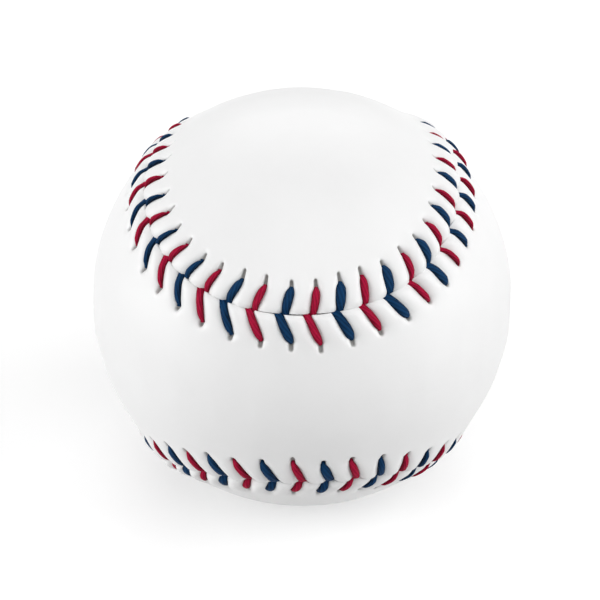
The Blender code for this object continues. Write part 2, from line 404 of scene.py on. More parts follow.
# %% [markdown]
# ## The width of a leg
#
# The blue thread is the thicker one. A thread that is pulled tighter gets thinner, and round the sides
# of the ball both are tighter than at the front. There the blue thread is thinner where the seam comes
# back to the front, and the red one where it runs away. Of the two legs of a V, the front one is
# thinner where the seam runs away, and the back one where it comes back. The legs low on the right
# were pulled hardest. Where the seam comes back, a leg also tapers to a point at its slit.

# %% Width and taper of each leg
RED_WIDTH, BLUE_WIDTH = 1.40, 1.67
RED_THINNING, BLUE_SWELL = 0.09, 0.2
SIDE_THINNING = 0.13
LOW_SWELL = 0.06
FRONT_PINCH, BACK_PINCH = 0.11, 0.12
LOW_RIGHT_THINNING = {FRONT: 0.3, BACK: 0.4}
SLACK_THINNING = {FRONT: 0.0, BACK: 0.2}
TAPER_FROM = 0.1

red_width = RED_WIDTH * (1 - RED_THINNING * ease(0, 1, away))
blue_width = BLUE_WIDTH * (1 + BLUE_SWELL * away)
thread_width = np.where(stitch_number % 2 == 0, red_width, blue_width)
thread_width *= (1 - SIDE_THINNING * away**2) * (1 + LOW_SWELL * lowness)
pinch = {FRONT: FRONT_PINCH * (1 - lowness), BACK: BACK_PINCH}
for hand, leg in legs.items():
    tightness = (1 + pinch[hand] * away * (hand - away)) * (1 - LOW_RIGHT_THINNING[hand] * low_right)
    usual_width = thread_width * tightness * (1 - SLACK_THINNING[hand] * slack)
    leg["width"] = usual_width * (1 + uneven[hand]["width"])
    leg["taper"] = ease(TAPER_FROM, 1, -away)
    leg["slack"] = slack
print(f"legs up to {max(leg['width'].max() for leg in legs.values()):.2f} mm wide")

# %% [markdown]
# ## The leather beside a leg
#
# Each leg drags its slit open and pulls the leather down under it, and between two legs the leather
# puffs up. Slits are longer on the back panel, and shortest at the upper right of the front one. Round
# the sides they get narrower towards their far end. Puffs are fuller where the seam runs away from the
# front, most of all on the back panel, but flatter on the front panel's slack stretch.

# %% Slit, pull and puff of each leg
SLIT_LENGTH = {FRONT: 1.55, BACK: 1.7}
SIDE_SHORTENING = 0.3
UPPER_SHORTENING = 0.4
UPPER_FROM, UPPER_BY = -0.2, 0.6
BACK_SHORTENING = 0.15
SLIT_NARROWING = 0.5
SIDE_PUFF = {FRONT: 0.2, BACK: 0.45}
SLACK_FLATTENING = {FRONT: 0.6, BACK: 0.0}

upper_shortening = UPPER_SHORTENING * ease(UPPER_FROM, UPPER_BY, away) * (1 - lowness)
slit_length = {
    FRONT: SLIT_LENGTH[FRONT] * (1 - SIDE_SHORTENING * away**2 - upper_shortening),
    BACK: SLIT_LENGTH[BACK] * (1 - BACK_SHORTENING * away),
}
for hand, leg in legs.items():
    fullness = 1 + SIDE_PUFF[hand] * away - SLACK_FLATTENING[hand] * slack
    leg["slit"] = slit_length[hand] * (1 + uneven[hand]["slit"])
    leg["slit_narrowing"] = SLIT_NARROWING * away**2
    leg["pull"] = 1 + uneven[hand]["pull"]
    leg["puff"] = fullness * (1 + uneven[hand]["puff"])
slits = np.concatenate([leg["slit"] for leg in legs.values()])
print(f"slits open by {slits.min():.1f} to {slits.max():.1f} mm past the legs")

# %% [markdown]
# ## The surface of the leather
#
# Wet leather is stretched over the ball and dries tight, and the stitches pull its edge into relief.
# The edge stands a little proud of the ball along the whole seam. Between two stitches the leather
# puffs up, under each leg it is pressed down, and it is pulled deepest where a leg goes down into the
# seam or into its slit. The edge itself rolls over into the crease between the panels.
#
# This could be sculpted by hand, but with 176 legs a formula is quicker and truer. It gives the height
# of the leather above the ball for any place beside a leg: how far along from the leg's middle line,
# and how far across from the seam.

# %% Height of the leather beside a leg
# Heights and depths come first on their lines. A fade goes from one distance from the seam to another.
EDGE_RISE, RISE_FADES = 0.26, (3.0, 9.5)
PUFF, PUFF_FADES = 0.58, (1.6, 7.0)
THREAD_BED, BED_WIDTH, BED_FADES = 0.40, 0.75, (4.2, 6.4)
SEAM_TUCK, SEAM_TUCK_SIZE = 0.42, (0.8, 0.9)
HOLE_TUCK, HOLE_TUCK_SIZE = 0.22, (0.7, 1.1)
SLIT_DEPTH, SLIT_HALF_WIDTH = 0.50, 0.33
# A puff has this share of its height at the seam, and all of it from this distance on.
EDGE_FULLNESS, FULL_FROM_SEAM = 0.85, 1.2
# A slit starts and is open this far before the end of its leg. Its rim is soft by a share.
SLIT_LEAD, SLIT_OPEN = 0.5, 0.1
SLIT_SOFTNESS = 0.4


def hollow(along, across, size):
    """A soft round hollow: 1 in its middle, and size says how wide it is along and across."""
    return np.exp(-((along / size[0]) ** 2) - (across / size[1]) ** 2)


def slit_share(leg, stitch, offset, across):
    """1 in the middle of a slit and 0 outside it. The slit ends round."""
    start = leg["reach"][stitch]
    end = start + leg["slit"][stitch]
    past_end = np.maximum(across - end + SLIT_HALF_WIDTH, 0)
    narrowing = 1 + leg["slit_narrowing"][stitch] * ease(start, end, across)
    from_middle = np.hypot(offset * narrowing, past_end)
    lengthwise = ease(start - SLIT_LEAD, start - SLIT_OPEN, across)
    rim_start = (1 - SLIT_SOFTNESS) * SLIT_HALF_WIDTH
    rim_end = (1 + SLIT_SOFTNESS) * SLIT_HALF_WIDTH
    return lengthwise * (1 - ease(rim_start, rim_end, from_middle))


def leather_height(leg, stitch, gap, offset, across):
    """Height above the ball. Gap is the number of the stitch before the puff."""
    beside = np.abs(offset)
    rise = EDGE_RISE * (1 - ease(*RISE_FADES, across))
    near_seam = EDGE_FULLNESS + (1 - EDGE_FULLNESS) * ease(0, FULL_FROM_SEAM, across)
    fullness = near_seam * (1 - ease(*PUFF_FADES, across))
    puff = PUFF * leg["puff"][gap] * fullness * np.sin(math.pi * np.minimum(beside / pitch, 0.5)) ** 2
    pull = leg["pull"][stitch]
    bed = THREAD_BED * pull * np.exp(-((beside / BED_WIDTH) ** 2)) * (1 - ease(*BED_FADES, across))
    tuck = SEAM_TUCK * pull * hollow(beside, across, SEAM_TUCK_SIZE)
    hole = HOLE_TUCK * pull * hollow(beside, across - leg["reach"][stitch], HOLE_TUCK_SIZE)
    slit = SLIT_DEPTH * slit_share(leg, stitch, offset, across)
    return rise + puff - bed - tuck - hole - slit


print(f"puffs {EDGE_RISE + PUFF:.2f} mm above the ball, thread beds {EDGE_RISE - THREAD_BED:.2f} mm")

# %% Rolled edge and opening of the seam
ROLL_WIDTH = 1.1
ROLL_DEPTH = 0.36
ROLL_CURVE = 2.2
LEAST_GAPE = 0.004
BEND_GAPE = 0.105
GAPE_REACH = 6.5


def rolled_edge(across):
    """How far the rolled edge drops, in the first millimetre from the seam."""
    share = np.clip(1 - across / ROLL_WIDTH, 0, 1)
    return ROLL_DEPTH * share**ROLL_CURVE


def seam_gape(along):
    """Half the opening between the panels, widest at the middle of each of the seam's four bends."""
    bend = seam_length / 4
    from_middle = (along + bend / 2) % bend - bend / 2
    return LEAST_GAPE + BEND_GAPE * np.exp(-((from_middle / GAPE_REACH) ** 2))


print(f"the seam opens by {2 * (LEAST_GAPE + BEND_GAPE):.2f} mm at most")

# %% [markdown]
# ## A panel's net
#
# A panel is one net of ribs that run from the seam to the panel's middle line, and rows that run along
# the seam. Ribs lie close together beside each leg, where the leather is worked most, and follow the
# leg's lean. Rows lie close together at the rolled edge and at the slits. Away from the seam the
# leather is plain ball, so there most ribs close up and the net gets wide.
#
# The same net goes on round the edge and back along the inner side, so that the panel is a closed
# sheet of real thickness.

# %% Ribs and rows of the net
RIB_OFFSETS = [0.0, 0.12, 0.24, 0.36, 0.5, 0.7, 1.0, 1.35, 1.75]
ROLL_ROWS = 10
BED_ROWS, BEDS_END = 11, 4.0
SLIT_ROWS, SLITS_END = 22, 7.2
FADING_ROWS = [7.6, 8.1, 8.6, 9.2]

ribs_each = 2 * len(RIB_OFFSETS)
half_gap = len(RIB_OFFSETS)
rib_offset = np.array([*RIB_OFFSETS, np.nan, *[-d for d in reversed(RIB_OFFSETS[1:])]])
rib_next = np.arange(ribs_each) > half_gap
rib_count = STITCHES * ribs_each
rib_number = np.arange(rib_count)
rib_gap = rib_number // ribs_each
rib_in_gap = rib_number % ribs_each
rib_stitch = (rib_gap + rib_next[rib_in_gap]) % STITCHES

roll_rows = ROLL_WIDTH * (1 - np.cos(np.linspace(0, math.pi / 2, ROLL_ROWS)))
bed_rows = np.linspace(roll_rows[-1], BEDS_END, BED_ROWS + 1)[1:]
slit_rows = np.linspace(BEDS_END, SLITS_END, SLIT_ROWS + 1)[1:]
worked_rows = np.concatenate([roll_rows, bed_rows, slit_rows, FADING_ROWS])
print(f"{rib_count} ribs and {len(worked_rows)} rows on the worked band")

# %% [markdown]
# ## Places on the net
#
# For each row, every rib is given its length along the seam. A rib beside a leg keeps its distance
# from the leg's line, which leans until it reaches the slit and then runs on square to the seam. The
# rib in the middle of a puff is halfway between the lines of its two legs.

# %% Places of the ribs along the seam, and closing up ribs
SPARSE_RIBS = [0, 5, 7, half_gap, 11, 13]
SPARSEST_RIBS = [0, half_gap]


def leg_line(hand, across):
    """Length along the seam of each leg's line at a distance across it, and the first leg's again."""
    leg = legs[hand]
    share = np.minimum(across / leg["reach"], 1)
    line = leg["crossing"] + (leg["hole"] - leg["crossing"]) * share
    return np.append(line, line[0] + seam_length)


def rib_places(hand, across):
    """Length along the seam and distance from the leg's line, for each rib of one row."""
    line = leg_line(hand, across)
    before = line[rib_gap]
    after = line[rib_gap + 1]
    offset = rib_offset[rib_in_gap]
    middle = np.isnan(offset)
    beside_leg = np.where(rib_next[rib_in_gap], after, before) + np.where(middle, 0, offset)
    along = np.where(middle, (before + after) / 2, beside_leg)
    return along, np.where(middle, (after - before) / 2, offset)


def closed_up(kept):
    """For each rib, the number of the nearest rib among those kept in every gap."""
    spot = np.where(np.isnan(rib_offset), pitch / 2, rib_offset + pitch * rib_next)
    spots = (rib_gap * pitch) + spot[rib_in_gap]
    kept_ribs = rib_number[np.isin(rib_in_gap, kept)]
    kept_ribs = np.append(kept_ribs, kept_ribs[0])
    kept_spots = np.append(spots[kept_ribs[:-1]], seam_length)
    nearest = np.abs(spots[:, None] - kept_spots[None, :]).argmin(axis=1)
    return kept_ribs[nearest]


sparse_ribs = closed_up(SPARSE_RIBS)
sparsest_ribs = closed_up(SPARSEST_RIBS)
print(f"ribs close up to {len(set(sparse_ribs))}, then to {len(set(sparsest_ribs))}")

# %% [markdown]
# ## A panel's middle line
#
# The ribs from both sides of a panel meet on a line that runs from lobe to lobe through the waist. The
# line is cut into even steps that are no shorter than the ribs' own, and each rib ends at the nearest
# cut, so that the two halves share their points and close without a gap.

# %% Middle line of a panel
MIDDLE_REACH = math.radians(110)


def middle_points(centre, spread, along):
    """The point of a panel's middle line at which each rib ends, as unit vectors."""

    def angle_at(length):
        point = seam_frame(length)[0]
        return np.arctan2(point @ spread, point @ centre)

    beside = np.unwrap(angle_at(np.append(apex, apex[0] + seam_length)))
    quarter = math.pi / 2
    step = quarter / math.floor(quarter / np.abs(np.diff(beside)).max())
    last = math.floor(MIDDLE_REACH / step)
    cut = np.clip(np.floor(angle_at(along) / step + 0.5), -last, last) * step
    return np.cos(cut)[:, None] * centre + np.sin(cut)[:, None] * spread


def great_arc(start, end, share):
    """Unit vectors part of the way from one set of unit vectors to another."""
    angle = np.arccos(np.clip((start * end).sum(axis=1), -1, 1))[:, None]
    return (np.sin((1 - share) * angle) * start + np.sin(share * angle) * end) / np.sin(angle)


print(f"middle lines reach {math.degrees(MIDDLE_REACH):.0f} degrees to either side of the waist")

# %% [markdown]
# ## The two panels
#
# A plain grid is added for each panel, with one square for each crossing of rib and row, and its
# points are moved to their places on the ball. Points that fall together at closed-up ribs, along the
# middle line and where the seam comes round to its start are merged, and the normals are turned
# outwards. An attribute marks the slits, where the leather's colour is painted grey as their shade.

# %% Rows of points for a panel
LEATHER_THICKNESS = 1.3
# Along the seam the leather is thinned on its inner side, which leaves room for the threads there.
SEWN_INNER_RADIUS = 36.2
SEWN_BAND = 6.0
BAND_END = 10.2
# The outer side goes no lower than this against the ball, so that it stays clear of the inner side.
LEAST_HEIGHT = -0.72
GAPE_FADES = (0, 2)
OUTER_SHARES = np.linspace(0, 1, 15)[1:]
INNER_SHARES = [1.0, 0.75, 0.5, 0.25, 0.0]


def worked_points(hand):
    """Points and slit shares of the worked band, row by row from the seam."""
    leg = legs[hand]
    points = []
    slits = []
    for across in worked_rows:
        along, offset = rib_places(hand, across)
        height = leather_height(leg, rib_stitch, rib_gap, offset, across) - rolled_edge(across)
        radius = BALL_RADIUS + np.maximum(height, LEAST_HEIGHT)
        gape = seam_gape(along) * (1 - ease(*GAPE_FADES, across))
        points.append(on_ball(along, hand * (across + gape), radius))
        slits.append(slit_share(leg, rib_stitch, offset, across))
    return points, slits


def panel_points(hand, centre, spread):
    """All rows of a panel: along its inner side to the seam, over the edge and back to the middle."""
    inner_radius = BALL_RADIUS - LEATHER_THICKNESS
    band_along = rib_places(hand, BAND_END)[0]
    band = on_ball(band_along, hand * BAND_END, 1.0)
    sparse_band = band[sparsest_ribs]
    middle = middle_points(centre, spread, band_along[sparsest_ribs])
    sewn_along = rib_places(hand, SEWN_BAND)[0]
    edge_along = rib_places(hand, 0.0)[0]
    inner = [great_arc(sparse_band, middle, share) * inner_radius for share in INNER_SHARES]
    inner.append(on_ball(sewn_along, hand * SEWN_BAND, SEWN_INNER_RADIUS)[sparsest_ribs])
    inner.append(on_ball(edge_along, hand * seam_gape(edge_along), SEWN_INNER_RADIUS)[sparsest_ribs])
    worked, worked_slits = worked_points(hand)
    outer = [band[sparse_ribs] * BALL_RADIUS]
    outer += [great_arc(sparse_band, middle, share) * BALL_RADIUS for share in OUTER_SHARES]
    no_slits = np.zeros(rib_count)
    slits = [no_slits] * len(inner) + worked_slits + [no_slits] * len(outer)
    return np.array(inner + worked + outer), np.array(slits)


print(f"leather {LEATHER_THICKNESS} mm thick, worked up to {BAND_END} mm from the seam")

# %% Grids moved onto the ball
MERGE_DISTANCE = 0.001


def add_grid(name, columns, rows):
    """A grid of squares, and the column and row number of each of its points."""
    bpy.ops.object.select_all(action="DESELECT")
    bpy.ops.mesh.primitive_grid_add(x_subdivisions=columns, y_subdivisions=rows, size=2)
    grid = bpy.context.object
    grid.name = name
    flat = np.empty(3 * len(grid.data.vertices), np.float32)
    grid.data.vertices.foreach_get("co", flat)
    places = (flat.reshape(-1, 3)[:, :2].astype(float) + 1) / 2
    return grid, np.rint(places[:, 0] * columns).astype(int), np.rint(places[:, 1] * rows).astype(int)


def close_mesh(piece):
    """Merges points that fall together, turns the faces outwards and smooths the shading."""
    bpy.ops.object.mode_set(mode="EDIT")
    bpy.ops.mesh.select_all(action="SELECT")
    bpy.ops.mesh.remove_doubles(threshold=MERGE_DISTANCE * MM)
    bpy.ops.mesh.normals_make_consistent(inside=False)
    bpy.ops.object.mode_set(mode="OBJECT")
    bpy.ops.object.shade_smooth()
    print(f"{piece.name}: {len(piece.data.vertices)} points, {len(piece.data.polygons)} faces")


def make_panel(name, hand, centre, spread):
    """One leather panel from a grid of ribs and rows."""
    points, slits = panel_points(hand, np.array(centre), np.array(spread))
    panel, column, row = add_grid(name, rib_count, len(points) - 1)
    column = column % rib_count
    panel.data.vertices.foreach_set("co", (points[row, column] * MM).astype(np.float32).ravel())
    mark = panel.data.attributes.new("slit", "FLOAT", "POINT")
    mark.data.foreach_set("value", slits[row, column].astype(np.float32))
    close_mesh(panel)
    return panel


leather_front = make_panel("leather_front", FRONT, (0, -1, 0), (1, 0, 0))
leather_back = make_panel("leather_back", BACK, (0, 1, 0), (0, 0, 1))

# %% [markdown]
# ## The threads
#
# Each thread makes every second stitch, so the colours take turns. It comes up through a slit in the
# front panel, lies over the leather to the seam, goes down between the panels and on under the back
# panel, comes up through a slit there, and returns the same way to its next stitch. Pulled tight, a
# leg is pressed flat against the leather: wide in the middle, and narrow where it goes down.
#
# Copies of one leg would be 176 loose pieces, so each thread is one long tube along its whole route.
# A tube made by a bevelled curve can't be flat, so the tube is a grid again: one row of points round
# the thread for each place on its route, at the width and thickness that it has there.

# %% Height and width of a leg on its way from the seam, 0, to its slit, 1
LEG_SHARES = [1.0, 0.96, 0.9, 0.82, 0.73, 0.63, 0.53, 0.43, 0.33, 0.24, 0.16, 0.09, 0.04, 0.0]
LIFT_SHARES, LIFTS = [0, 0.12, 0.3, 0.85, 1], [-0.05, 0.14, 0.44, 0.44, 0.06]
WIDTH_SHARES = [0, 0.16, 0.35, 0.6, 0.8, 0.92, 1]
EVEN_WIDTHS = [0.8, 0.84, 0.94, 1, 0.96, 0.8, 0.56]
POINTED_WIDTHS = [0.93, 0.98, 0.97, 0.86, 0.67, 0.47, 0.28]
DEPTH_SHARES, DEPTHS = [0, 0.15, 0.5, 0.85, 1], [0.7, 0.85, 1, 0.85, 0.6]
SEAM_SHARE = 0.3
SEAM_SWELL = {FRONT: 0.32, BACK: 0.0}
SLACK_SHARE = 0.55
SLACK_NARROWING = {FRONT: 0.08, BACK: 0.5}
SLACK_LIFT = {FRONT: 0.1, BACK: 0.0}
SLACK_DIP = {FRONT: 0.08, BACK: 0.22}
JOIN_LIFT = 0.14

leg_share = np.array(LEG_SHARES)
at_seam = 1 - ease(0, SEAM_SHARE, leg_share)
half_wave = np.sin(math.pi * leg_share)


def leg_lift(hand, leg):
    """How far the middle of a leg lies above its bed. Tapered legs join higher in the seam."""
    lift = np.interp(leg_share, LIFT_SHARES, LIFTS) + SLACK_LIFT[hand] * leg["slack"] * half_wave
    return lift + (JOIN_LIFT * leg["taper"] - SLACK_DIP[hand] * leg["slack"]) * at_seam


def leg_spread(hand, leg):
    """How wide a leg is, as a share of its own width. Slack legs are narrower near the seam."""
    even = np.interp(leg_share, WIDTH_SHARES, EVEN_WIDTHS)
    pointed = np.interp(leg_share, WIDTH_SHARES, POINTED_WIDTHS)
    spread = even + (pointed - even) * leg["taper"] + SEAM_SWELL[hand] * at_seam
    return spread - SLACK_NARROWING[hand] * leg["slack"] * (1 - ease(0, SLACK_SHARE, leg_share))


print(f"{len(LEG_SHARES)} places along a leg")

# %% Route of a thread
LEG_THICKNESS = 1.1
SEAM_SWEEP = {FRONT: -0.22, BACK: 0.08}
JOIN_REACH = 0.2
UNDER_RADIUS = 35.85
DIVE_REACH = 0.05
# Width and thickness of a thread under the leather, and where it dives into the seam.
HIDDEN_SIZE = [0.7, 0.45]
DIVE_SIZE = [0.9, 0.4]
# How far past the end of a leg, and at which radius, the thread bends up through the slit.
SLIT_BENDS = [(0.0, UNDER_RADIUS), (0.22, 36.3), (0.18, 36.72)]


def leg_rings(hand, stitch):
    """Along, across, radius, width and thickness of one leg, from below its slit to below the seam."""
    leg = {size: values[stitch] for size, values in legs[hand].items()}
    lean = leg["hole"] - leg["crossing"]
    along = leg["crossing"] + lean * leg_share + leg["bow"] * half_wave + SEAM_SWEEP[hand] * at_seam
    across = leg["reach"] * leg_share - JOIN_REACH * leg["taper"] * at_seam
    before_slit = np.minimum(across, leg["reach"] - SLIT_LEAD)
    bed = leather_height(legs[hand], stitch, stitch, 0.0, before_slit)
    radius = BALL_RADIUS + bed + leg_lift(hand, leg)
    width = leg["width"] * leg_spread(hand, leg)
    thickness = LEG_THICKNESS * np.interp(leg_share, DEPTH_SHARES, DEPTHS)
    visible = np.stack([along, across, radius, width, thickness], axis=1)
    below_slit = [
        [leg["hole"], leg["reach"] + past, bend_radius, *HIDDEN_SIZE] for past, bend_radius in SLIT_BENDS
    ]
    below_seam = [
        [along[-1], across[-1] - DIVE_REACH, SEWN_INNER_RADIUS, *DIVE_SIZE],
        [leg["crossing"], 0.0, UNDER_RADIUS, *HIDDEN_SIZE],
    ]
    rings = np.concatenate([below_slit, visible, below_seam])
    rings[:, 1] *= hand
    # A leg heads from its slit to the seam and turns square to the seam as it gets there.
    leaning = 1 - np.concatenate([np.zeros(len(below_slit)), at_seam, np.ones(len(below_seam))])
    headings = np.stack([-lean * leaning, np.full(len(rings), -hand * leg["reach"])], axis=1)
    return rings, headings


def thread_rings(first_stitch):
    """All rings of a thread with their headings along and across the seam, from end to end."""
    rings = []
    headings = []
    for stitch in range(first_stitch, STITCHES, 2):
        for hand in (FRONT, BACK):
            leg_part, leg_heading = leg_rings(hand, stitch)
            rings.append(leg_part)
            headings.append(leg_heading)
        if stitch + 2 < STITCHES:
            start = legs[BACK]["crossing"][stitch]
            end = legs[FRONT]["hole"][stitch + 2]
            reach = legs[FRONT]["reach"][stitch + 2]
            rings.append([[(start + end) / 2, -reach / 2, UNDER_RADIUS, *HIDDEN_SIZE]])
            headings.append([[end - start, -reach]])
    return np.concatenate(rings), np.concatenate(headings)


print(f"each thread has {STITCHES // 2} stitches of two legs")

# %% [markdown]
# ## Rings round a thread
#
# Each ring is an ellipse square to the route. Its wide way lies along the leather and square to the
# leg. Where the thread turns back through a slit, the wide way keeps its direction, so that the tube
# bends there as a ribbon does and doesn't twist.

# %% Threads
RING_POINTS = 14


def make_thread(name, first_stitch):
    """One thread from a grid that is rolled into a tube along the route."""
    rings, headings = thread_rings(first_stitch)
    centres = on_ball(rings[:, 0], rings[:, 1], rings[:, 2])
    tangents = unit(np.gradient(centres, axis=0))
    _, along_seam, across_seam = seam_frame(rings[:, 0])
    heading = headings[:, :1] * along_seam + headings[:, 1:] * across_seam
    wide_way = unit(np.cross(unit(centres), heading))
    same_side = np.sign((wide_way[1:] * wide_way[:-1]).sum(axis=1))
    wide_way[1:] *= np.cumprod(same_side)[:, None]
    thick_way = unit(np.cross(tangents, wide_way))
    wide_way = np.cross(thick_way, tangents)
    half_width = rings[:, 3:4] / 2
    half_thickness = rings[:, 4:5] / 2
    thread, column, row = add_grid(name, len(rings) - 1, RING_POINTS)
    round_angle = (2 * math.pi * (row % RING_POINTS) / RING_POINTS)[:, None]
    open_end = ((column > 0) & (column < len(rings) - 1))[:, None]
    sideways = wide_way[column] * half_width[column] * np.cos(round_angle)
    outwards = thick_way[column] * half_thickness[column] * np.sin(round_angle)
    points = centres[column] + open_end * (sideways + outwards)
    thread.data.vertices.foreach_set("co", (points * MM).astype(np.float32).ravel())
    close_mesh(thread)
    return thread


lacing_red = make_thread("lacing_red", 0)
lacing_blue = make_thread("lacing_blue", 1)

# %% [markdown]
# ## White cover leather
#
# Ball leather is alum-tanned horsehide or cowhide, white all through, pressed smooth and lightly
# finished. To the eye that is a nearly white satin with the faintest grain, a little uneven in tone.
# The pores are about a third of a millimetre apart, too fine to show one by one in the whole view, so
# they give only a soft break to the gloss. Inside the slits the white is painted grey, as the shade
# in the needle holes.

# %% Leather
GRAIN_SIZE, GRAIN_DEPTH = 0.35, 0.02
BLOTCH_SIZE = 9.0
# Size of the mottling in the painted grey of the slits.
SLIT_SHADE_MOTTLE_SIZE = 0.7
ROUGHNESS, GLOSS_SPREAD = 0.43, 0.05

leather, tree, shader = start_material("alum_tanned_white_leather", ROUGHNESS, ior=1.5)
place = add_node(tree, "ShaderNodeTexCoord")
blotches = add_node(
    tree,
    "ShaderNodeTexNoise",
    {"Scale": 1000 / BLOTCH_SIZE, "Detail": 3.0},
    {"Vector": place.outputs["Object"]},
)
tone = add_node(
    tree,
    "ShaderNodeMix",
    {6: linear("#EFEFEF"), 7: linear("#F4F4F4")},
    {"Factor": blotches.outputs["Fac"]},
    data_type="RGBA",
)
slit_mark = add_node(tree, "ShaderNodeAttribute", attribute_name="slit")
slit_shade_mottle = add_node(
    tree,
    "ShaderNodeTexNoise",
    {"Scale": 1000 / SLIT_SHADE_MOTTLE_SIZE},
    {"Vector": place.outputs["Object"]},
)
# Painted shade: grey mixed into the white leather inside the slits stands for the shade in the needle
# holes.
painted_slit_shade = add_node(
    tree,
    "ShaderNodeMix",
    {6: linear("#6F6E6C"), 7: linear("#B4B3B1")},
    {"Factor": slit_shade_mottle.outputs["Fac"]},
    data_type="RGBA",
)
leather_with_slit_shade = add_node(
    tree,
    "ShaderNodeMix",
    links={"Factor": slit_mark.outputs["Fac"], 6: tone.outputs[2], 7: painted_slit_shade.outputs[2]},
    data_type="RGBA",
)
pores = add_node(
    tree,
    "ShaderNodeTexVoronoi",
    {"Scale": 1000 / GRAIN_SIZE},
    {"Vector": place.outputs["Object"]},
    feature="SMOOTH_F1",
)
grain = add_node(
    tree,
    "ShaderNodeBump",
    {"Strength": 0.35, "Distance": GRAIN_DEPTH * MM},
    {"Height": pores.outputs["Distance"]},
)
gloss = add_node(
    tree,
    "ShaderNodeMapRange",
    {"To Min": ROUGHNESS - GLOSS_SPREAD, "To Max": ROUGHNESS + GLOSS_SPREAD},
    {"Value": blotches.outputs["Fac"]},
)
tree.links.new(leather_with_slit_shade.outputs[2], shader.inputs["Base Color"])
tree.links.new(gloss.outputs[0], shader.inputs["Roughness"])
tree.links.new(grain.outputs["Normal"], shader.inputs["Normal"])
print(leather.name, "with pores", GRAIN_SIZE, "mm apart")

# %% [markdown]
# ## Waxed thread
#
# The lacing is twisted cotton, drawn through wax. Its plies show as fine slanting lines along each
# leg, raised in bump and with shade painted into the grooves between them, and with a soft low gloss
# where the wax is rubbed. The sides, where the thread beds into the leather, are darkened with painted
# shade. The tube's own UV map runs along the thread and round it, so lines and sides follow every leg.

# %% Thread finishes
PLIES, PLY_DEPTH = 8, 0.05
TURNS_PER_LEG = 0.6
WAX_SIZE = 1.1
# Painted shade in the grooves between the plies, as a share of the dye's range.
PAINTED_PLY_SHADE = 0.3
# Painted shade along both sides of each leg, as a share of the dye's range.
PAINTED_SIDE_SHADE = -0.38
WAX_SHEEN = 0.06


def waxed_thread(name, dark, bright):
    """Twisted waxed cotton, mixed between dark and bright dye by wax tone and painted shade."""
    material, tree, shader = start_material(name, roughness=0.6, ior=1.47)
    uv = add_node(tree, "ShaderNodeUVMap")
    along_round = add_node(tree, "ShaderNodeSeparateXYZ", links={0: uv.outputs[0]})
    turns = add_node(
        tree,
        "ShaderNodeMath",
        {1: TURNS_PER_LEG * STITCHES * PLIES},
        {0: along_round.outputs["X"]},
        operation="MULTIPLY",
    )
    twist = add_node(
        tree,
        "ShaderNodeMath",
        {1: float(PLIES)},
        {0: along_round.outputs["Y"], 2: turns.outputs[0]},
        operation="MULTIPLY_ADD",
    )
    whole_turn = add_node(
        tree, "ShaderNodeMath", {1: 2 * math.pi}, {0: twist.outputs[0]}, operation="MULTIPLY"
    )
    plies = add_node(tree, "ShaderNodeMath", links={0: whole_turn.outputs[0]}, operation="SINE")
    place = add_node(tree, "ShaderNodeTexCoord")
    wax = add_node(
        tree,
        "ShaderNodeTexNoise",
        {"Scale": 1000 / WAX_SIZE, "Detail": 4.0},
        {"Vector": place.outputs["Object"]},
    )
    # Painted shade in the ply grooves, added to the wax's uneven tone.
    ply_shade_and_wax = add_node(
        tree,
        "ShaderNodeMath",
        {1: PAINTED_PLY_SHADE},
        {0: plies.outputs[0], 2: wax.outputs["Fac"]},
        operation="MULTIPLY_ADD",
    )
    # Painted shade: the colour darkens towards both sides of the tube, where the thread lies in the
    # leather.
    twice_round = add_node(
        tree, "ShaderNodeMath", {1: 4 * math.pi}, {0: along_round.outputs["Y"]}, operation="MULTIPLY"
    )
    sides = add_node(tree, "ShaderNodeMath", links={0: twice_round.outputs[0]}, operation="COSINE")
    shade = add_node(
        tree,
        "ShaderNodeMath",
        {1: PAINTED_SIDE_SHADE},
        {0: sides.outputs[0], 2: ply_shade_and_wax.outputs[0]},
        operation="MULTIPLY_ADD",
    )
    colour = add_node(
        tree,
        "ShaderNodeMix",
        {6: linear(dark), 7: linear(bright)},
        {"Factor": shade.outputs[0]},
        data_type="RGBA",
    )
    lay = add_node(
        tree,
        "ShaderNodeBump",
        {"Strength": 0.6, "Distance": PLY_DEPTH * MM},
        {"Height": plies.outputs[0]},
    )
    tree.links.new(colour.outputs[2], shader.inputs["Base Color"])
    tree.links.new(lay.outputs["Normal"], shader.inputs["Normal"])
    shader.inputs["Specular IOR Level"].default_value = WAX_SHEEN
    return material


red_thread = waxed_thread("waxed_red_cotton", "#5E071A", "#AF173D")
blue_thread = waxed_thread("waxed_dark_blue_cotton", "#041322", "#113A61")
print(red_thread.name, "and", blue_thread.name)

# %% [markdown]
# ## The cover goes on
#
# The CAD model has a plain solid for each panel and each thread. The sewn piece takes its place and
# is fixed to the root body, and the solid is hidden.

# %% Dress the cover pieces
for piece, node, finish, slot in (
    (leather_front, "cover_panel_front", leather, "leather"),
    (leather_back, "cover_panel_back", leather, "leather"),
    (lacing_red, "thread_red", red_thread, "red_thread"),
    (lacing_blue, "thread_blue", blue_thread, "blue_thread"),
):
    piece.data.materials.append(finish)
    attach(piece, "root")
    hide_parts(node)
    print(piece.name, "stands for", node)

# %% [markdown]
# ## Inside the ball
#
# Nothing inside shows until the ball is cut open, and then its layers tell how it was made. Cork and
# rubber grains are pressed into a small ball. Two black rubber cups with a red washer between their
# rims close round it, and a red rubber jacket goes over them. These pieces keep their CAD shape. They
# need only their finishes: grains about two millimetres wide for the cork, and for the rubber the
# faint bloom and fine grit of a steel mould.

# %% Cork and moulded rubber
CORK_GRAIN, DENT_DEPTH = 2.2, 0.2
BLOOM_SIZE = 3.0
MOULD_GRIT, GRIT_DEPTH = 0.25, 0.05

